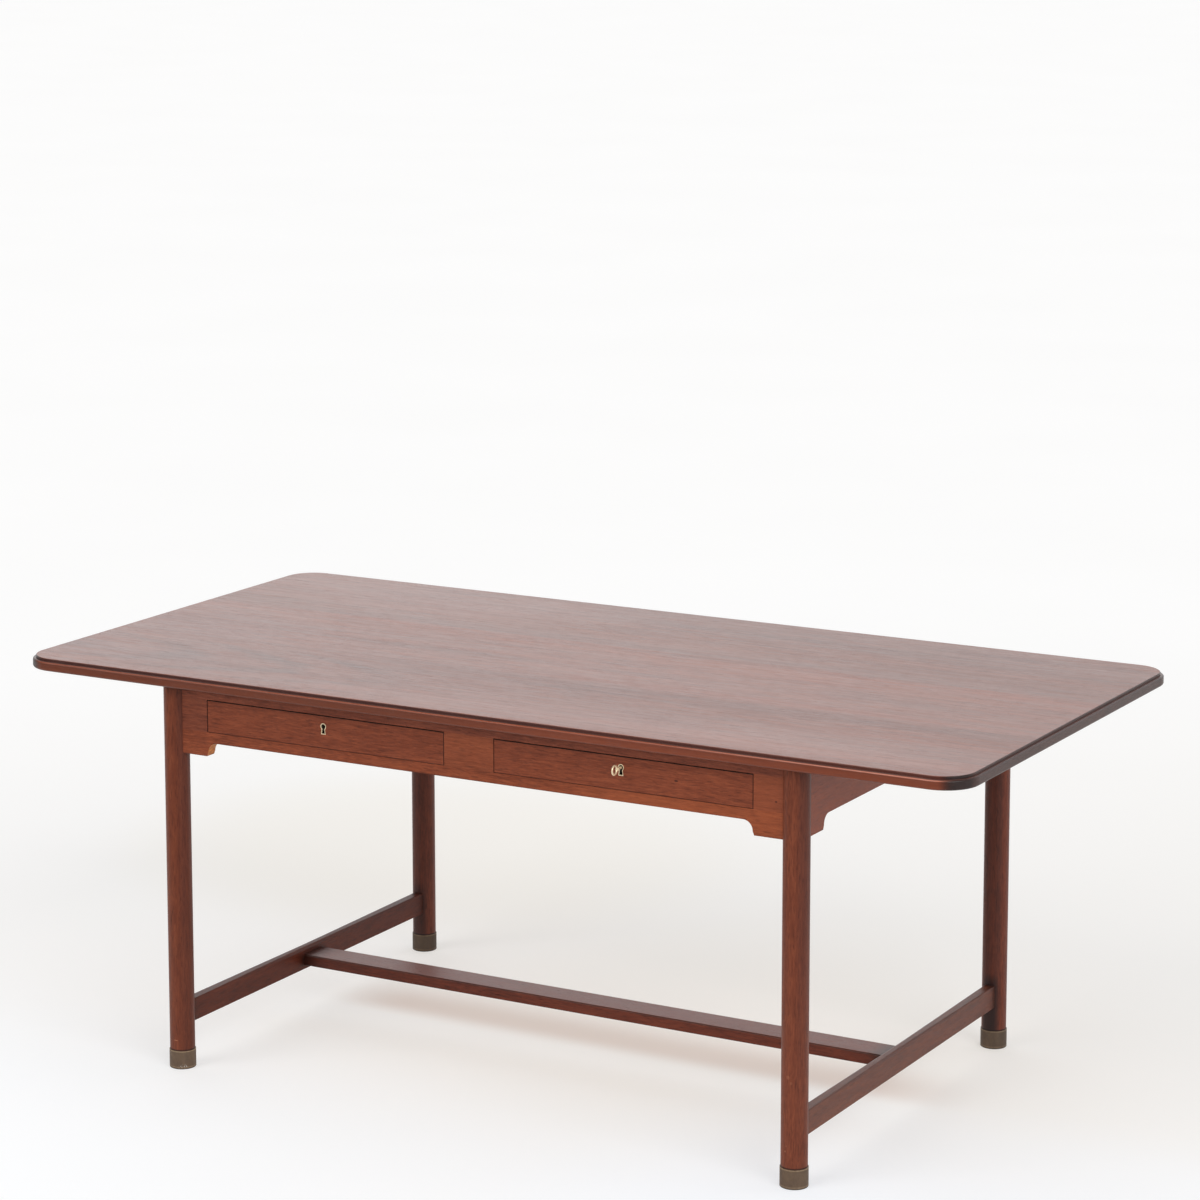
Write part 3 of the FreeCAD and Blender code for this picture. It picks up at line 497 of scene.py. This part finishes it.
# painted shade: the left stretcher is a darker copy of the stretcher wood, for its shade under the desk
mats["stretcher_left"] = wood("mahogany_stretcher_left", "Y", *trio(0.41, 1.05, 0.85, 0.80), (2.3, 7.9, 4.7), marks=stretcher_marks, spec=0.22)
mats["stretcher_mid"] = wood("mahogany_middle_stretcher", "X", *trio(0.54, 1.08, 0.89, 0.90), (0.7, 7.4, 8.8), marks=middle_marks, rough=0.31)
INSIDE = ((0.16, 0.075, 0.035), (0.30, 0.155, 0.078), (0.42, 0.24, 0.13))
LINING = ((0.26, 0.13, 0.058), (0.45, 0.245, 0.120), (0.58, 0.35, 0.19))
PLY = ((0.38, 0.200, 0.095), (0.57, 0.335, 0.170), (0.68, 0.44, 0.245))
raw_kw = dict(fleck=0.7, pores=0.6, figure=0.8, spec=0.4, end_tint=(0.75, 0.72, 0.70))
mats["inside_x"] = wood("inside_wood_x", "X", *INSIDE, (2.2, 1.1, 5.5), rough=0.62, **raw_kw)
mats["inside_y"] = wood("inside_wood_y", "Y", *INSIDE, (7.2, 4.1, 1.5), rough=0.62, **raw_kw)
mats["lining_y"] = wood("drawer_lining_y", "Y", *LINING, (3.2, 6.1, 2.5), rough=0.55, **raw_kw)
mats["lining_x"] = wood("drawer_lining_x", "X", *LINING, (1.2, 8.1, 6.5), rough=0.55, **raw_kw)
mats["ply"] = wood("drawer_plywood", "X", *PLY, (5.5, 0.9, 3.7), rough=0.58, **dict(raw_kw, figure=1.1, pores=0.3))


def metal(name, clean, tarnish, black, rough, cover, seed, rim=None, scale=1.0, soft=0.22, contrast=1.0, met=1.0, bump=0.30):
    m, t = new_material(name)
    obj = t.node("ShaderNodeTexCoord").outputs["Object"]
    x, y, z = t.xyz(obj)
    v = t.vmath("ADD", obj, seed)
    big = t.noise(t.vmath("MULTIPLY", v, (55.0 * scale, 55.0 * scale, 38.0 * scale)), 1.0, 4.0, 0.62, 0.4)
    small = t.noise(t.vmath("MULTIPLY", v, (420.0, 420.0, 260.0)), 1.0, 3.0, 0.65)
    lines = t.noise(t.join(t.math("MULTIPLY", x, 120.0), t.math("MULTIPLY", y, 120.0), t.math("MULTIPLY", z, 2600.0)), 1.0, 2.0, 0.6)
    p = t.math("MULTIPLY_ADD", t.math("SUBTRACT", small, 0.5), 0.45 * contrast, big)
    k = t.span(p, cover - soft, cover + soft)
    col = t.mix(k, clean, tarnish)
    col = t.mix(t.span(p, cover + 0.10, cover + 0.45, 0.0, contrast), col, black)
    r = t.math("MULTIPLY_ADD", k, 0.16, rough)
    if rim is not None:
        col, r = rim(t, x, y, z, col, r)
    me = t.math("MULTIPLY_ADD", k, -0.25 * met, met)
    h = t.math("MULTIPLY_ADD", lines, 0.35, t.math("MULTIPLY", small, 0.5))
    finish_material(t, col, r, bump=(h, bump, 0.0001), metallic=me)
    return m


def shoe_rim(t, x, y, z, col, r):
    """Rubbed bright along the rim and, less so, just above the foot; dirt under it and inside the rim."""
    wear = t.span(t.noise(t.vmath("MULTIPLY", t.join(x, y, z), (160.0, 160.0, 90.0)), 1.0, 3.0, 0.6), 0.36, 0.60, 0.55, 1.0)
    top = t.math("MULTIPLY", t.span(z, 0.0302, 0.0316), wear)
    low = t.math("MULTIPLY", t.math("MULTIPLY", t.span(z, 0.0016, 0.0028), t.span(z, 0.0040, 0.0056, 1.0, 0.0)), wear)
    w = t.math("MAXIMUM", t.math("MULTIPLY", top, 0.85), t.math("MULTIPLY", low, 0.45))
    col = t.mix(w, col, (0.36, 0.26, 0.165))
    # painted shade: the back pair of shoes is darker, the left one more so
    far_pair_shade = t.math("MULTIPLY", t.span(y, -0.1, 0.1), t.span(x, -0.1, 0.1, 0.62, 0.40))
    col = t.mix(far_pair_shade, col, (0.050, 0.036, 0.026))
    dirt = t.span(z, 0.0008, 0.0024, 1.0, 0.0)
    col = t.mix(t.math("MULTIPLY", dirt, 0.75), col, (0.030, 0.024, 0.019))
    nz = t.xyz(t.node("ShaderNodeTexCoord").outputs["Normal"])[2]
    ring = t.math("MULTIPLY", t.span(nz, 0.85, 0.97), t.span(z, 0.0320, 0.0326))
    col = t.mix(t.math("MULTIPLY", ring, 0.85), col, (0.020, 0.014, 0.010))
    # flecks of old floor paint on the foot of the front left shoe
    near = spot(t, x, y, z, (-0.5830, -0.4200, 0.0050), (0.010, 0.010, 0.0055), 0.2)
    chips = t.math("MULTIPLY", near, t.span(t.noise(t.vmath("MULTIPLY", t.join(x, y, z), (620.0, 620.0, 620.0)), 1.0, 1.0, 0.5), 0.60, 0.66))
    col = t.mix(chips, col, (0.62, 0.60, 0.57))
    return col, t.math("MULTIPLY_ADD", w, -0.10, r)


mats["shoe"] = metal("brass_shoe_patina", (0.190, 0.132, 0.088), (0.122, 0.082, 0.058), (0.085, 0.058, 0.042), 0.40, 0.46, (1.0, 2.0, 3.0),
                     rim=shoe_rim, soft=0.30, contrast=0.6, met=0.75, bump=0.12)
def recess(t, x, y, z, col, r):
    """The fittings are black with age where no hand reaches, behind the face of the drawer front."""
    k = t.span(t.math("ABSOLUTE", y), 0.4098, 0.4117, 1.0, 0.0)
    return t.mix(t.math("MULTIPLY", k, 0.93), col, (0.016, 0.012, 0.009)), t.math("MULTIPLY_ADD", k, 0.20, r)


mats["brass"] = metal("brass_fitting_aged", (1.0, 0.83, 0.565), (0.78, 0.56, 0.31), (0.22, 0.14, 0.07), 0.36, 0.72, (4.0, 1.0, 7.0), scale=3.0, met=0.42, bump=0.15, rim=recess)
mats["lockwork"] = metal("brass_lockwork", (0.55, 0.42, 0.22), (0.26, 0.19, 0.10), (0.07, 0.05, 0.03), 0.36, 0.48, (2.0, 8.0, 1.0), scale=2.0)
mats["steel"] = metal("screw_steel_worn", (0.42, 0.41, 0.40), (0.20, 0.18, 0.16), (0.06, 0.05, 0.045), 0.34, 0.50, (6.0, 3.0, 2.0), scale=3.0)

# ---------------------------------------------------------------------------
# Which node wears what
# ---------------------------------------------------------------------------


def dress(node, key):
    o = N[node]
    o.data.materials.clear()
    o.data.materials.append(mats[key])


for name in N:
    if name.startswith("top_board_"):
        key = "top_" + name[len("top_board_"):]
    elif name.startswith("leg_shoes"):
        key = "shoe"
    elif name.startswith("leg_"):
        key = name
    elif name.startswith("apron_"):
        key = "apron"
    elif name.startswith("top_rail"):
        key = "rail_top"
    elif name.startswith("bottom_rail"):
        key = "rail_bottom"
    elif "stile" in name:
        key = "stile"
    elif name == "stretcher_middle":
        key = "stretcher_mid"
    elif name == "stretcher_left":
        key = "stretcher_left"
    elif name.startswith("stretcher"):
        key = "stretcher"
    elif name.startswith("drawer_") and name.endswith("_front"):
        key = "drawer"
    elif name.startswith("drawer_") and name.endswith("_sides"):
        key = "lining_y"
    elif name.startswith("drawer_") and name.endswith("_back") and name.count("_") == 3:
        key = "lining_x"
    elif name.startswith("drawer_") and name.endswith("_bottom"):
        key = "ply"
    elif name.startswith("escutcheon") or name == "key":
        key = "brass"
    elif name.startswith("lock_"):
        key = "lockwork"
    elif "screws" in name:
        key = "steel"
    elif name == "centre_rail":
        key = "inside_x"
    else:
        key = "inside_y"
    dress(name, key)

# ---------------------------------------------------------------------------
# Floor and light
# ---------------------------------------------------------------------------


def stage_plane(name, x0, x1, y0, y1, z):
    me = bpy.data.meshes.new(name)
    me.from_pydata([(x0, y0, z), (x1, y0, z), (x1, y1, z), (x0, y1, z)], [], [(0, 1, 2, 3)])
    o = bpy.data.objects.new(name, me)
    scene.collection.objects.link(o)
    return o


def hide_from(o, *rays):
    for k in rays:
        setattr(o, "visible_" + k, False)


def make_floor():
    """Pale paper, exposed almost to white, so that it shows only faint shadows. What the desk is lit by is a
    second sheet just below it, which the camera doesn't see."""
    o = stage_plane("floor", -90.0, 90.0, -90.0, 90.0, 0.0)
    m, t = new_material("studio_floor")
    obj = t.node("ShaderNodeTexCoord").outputs["Object"]
    x, y, z = t.xyz(obj)
    n = t.noise(t.vmath("MULTIPLY", obj, (0.9, 0.9, 0.9)), 1.0, 3.0, 0.5)
    col = t.mix(t.span(n, 0.3, 0.7), (0.534, 0.543, 0.553), (0.545, 0.554, 0.565))

    def reach(cx, cy, rx, ry):
        dx = t.math("DIVIDE", t.math("SUBTRACT", x, cx), rx)
        dy = t.math("DIVIDE", t.math("SUBTRACT", y, cy), ry)
        return t.math("SQRT", t.math("MULTIPLY_ADD", dx, dx, t.math("MULTIPLY", dy, dy)))

    # the room's light falls off softly round the desk, and warms there by what the wood throws back
    s = t.math("MULTIPLY", t.span(reach(0.3, 1.2, 3.6, 3.0), 0.0, 1.0, 1.0, 0.0), 0.46)
    s = t.math("ADD", s, t.math("MULTIPLY", t.span(reach(0.25, 0.25, 1.25, 0.95), 0.2, 1.0, 1.0, 0.0), 0.40))
    glow = t.mix(s, (1.0, 0.985, 0.968), (0.815, 0.770, 0.700))
    glow = t.mix(t.span(y, -0.62, -0.06, 0.95, 0.0), glow, (0.992, 1.004, 1.020))
    # whiter again at the right of the front, and yellower on the far left
    k = t.math("MULTIPLY", t.math("MULTIPLY", t.span(x, 0.10, 0.60), t.span(y, -0.10, 0.15, 1.0, 0.0)), 0.9)
    glow = t.mix(k, glow, t.mix(1.0, glow, (1.03, 1.065, 1.12), blend="MULTIPLY"))
    k = spot(t, x, y, 0.0, (-0.97, 1.05, 0.0), (0.80, 0.75, 1.0), hard=0.10)
    glow = t.mix(k, glow, t.mix(1.0, glow, (0.950, 0.920, 0.860), blend="MULTIPLY"))
    # the middle stretcher's own shadow, warm from the wood above it
    band = t.math("MULTIPLY", t.span(y, 0.012, 0.085), t.span(y, 0.085, 0.250, 1.0, 0.0))
    band = t.math("MULTIPLY", band, t.math("MULTIPLY", t.span(x, -0.62, -0.44), t.span(x, 0.50, 0.72, 1.0, 0.0)))
    glow = t.mix(band, glow, t.mix(1.0, glow, (0.795, 0.680, 0.625), blend="MULTIPLY"))
    power = t.span(y, -0.80, -0.25, FLOOR_GLOW * 1.125, FLOOR_GLOW * 1.015)
    finish_material(t, col, 0.9, spec=0.0, extra={"Emission Color": glow, "Emission Strength": power})
    o.data.materials.append(m)
    hide_from(o, "diffuse", "glossy", "shadow", "transmission", "volume_scatter")
    b = stage_plane("floor_bounce", -90.0, 90.0, -90.0, 90.0, -0.001)
    m, t = new_material("studio_floor_bounce")
    finish_material(t, FLOOR_ALBEDO, 0.9, spec=0.0, extra={"Emission Color": (1.0, 0.99, 0.975, 1.0), "Emission Strength": BOUNCE_GLOW})
    b.data.materials.append(m)
    hide_from(b, "camera")
    # a dark cloth on the floor before the desk, seen only in its gloss
    c = stage_plane("dark_cloth", -9.0, 2.6, -9.0, -1.25, 0.004)
    m, t = new_material("studio_dark_cloth")
    finish_material(t, (0.02, 0.02, 0.02, 1.0), 1.0, spec=0.0, extra={"Emission Color": (1.0, 1.0, 1.0, 1.0), "Emission Strength": CLOTH_GLOW})
    c.data.materials.append(m)
    hide_from(c, "camera", "diffuse", "shadow", "transmission", "volume_scatter")


def make_light():
    w = bpy.data.worlds.new("studio")
    w.use_nodes = True
    scene.world = w
    t = Tree(w.node_tree)
    d = t.node("ShaderNodeTexCoord").outputs["Generated"]
    dx, dy, dz = t.xyz(d)
    lp = t.node("ShaderNodeLightPath")
    # a bright backdrop behind the desk, brightest at its left, and a dimmer room in front and overhead
    back = t.math("MULTIPLY", t.span(dy, -0.05, 0.65), t.span(dx, -0.66, -0.26, BACK_LEFT, BACK_RIGHT))
    k = t.math("MULTIPLY_ADD", back, WORLD_BACK, WORLD_BASE)
    k = t.math("MULTIPLY", k, t.span(dz, 0.30, 0.90, 1.0, ZENITH))
    bg = t.node("ShaderNodeBackground")
    t.put(bg.inputs["Color"], (0.985, 0.99, 1.0, 1.0))
    t.put(bg.inputs["Strength"], t.mixf(lp.outputs["Is Camera Ray"], k, 0.965))
    o = t.node("ShaderNodeOutputWorld")
    t.t.links.new(bg.outputs[0], o.inputs[0])

    # two big soft lights, low in front of the desk, one to each side
    for name, power, angle, way in KEYS:
        l = bpy.data.lights.new(name, "SUN")
        l.energy = power
        l.angle = math.radians(angle)
        l.color = (1.0, 0.985, 0.96)
        ob = bpy.data.objects.new(name, l)
        scene.collection.objects.link(ob)
        ob.rotation_euler = (-Vector(way)).to_track_quat("-Z", "Y").to_euler()


FLOOR_GLOW = 0.518
FLOOR_ALBEDO = (0.76, 0.75, 0.74, 1.0)
BOUNCE_GLOW = 0.20
CLOTH_GLOW = 0.05
WORLD_BASE, WORLD_BACK, ZENITH = 0.27, 0.95, 0.72
BACK_LEFT, BACK_RIGHT = 1.16, 0.92
KEYS = [("softbox_left", 1.25, 44.0, (-0.40, -0.82, 0.44)), ("softbox_right", 1.45, 44.0, (0.80, -0.48, 0.44))]
make_floor()
make_light()
scene.view_settings.view_transform = "Standard"
scene.view_settings.look = "None"
scene.view_settings.exposure = 0.0
scene.view_settings.gamma = 1.0
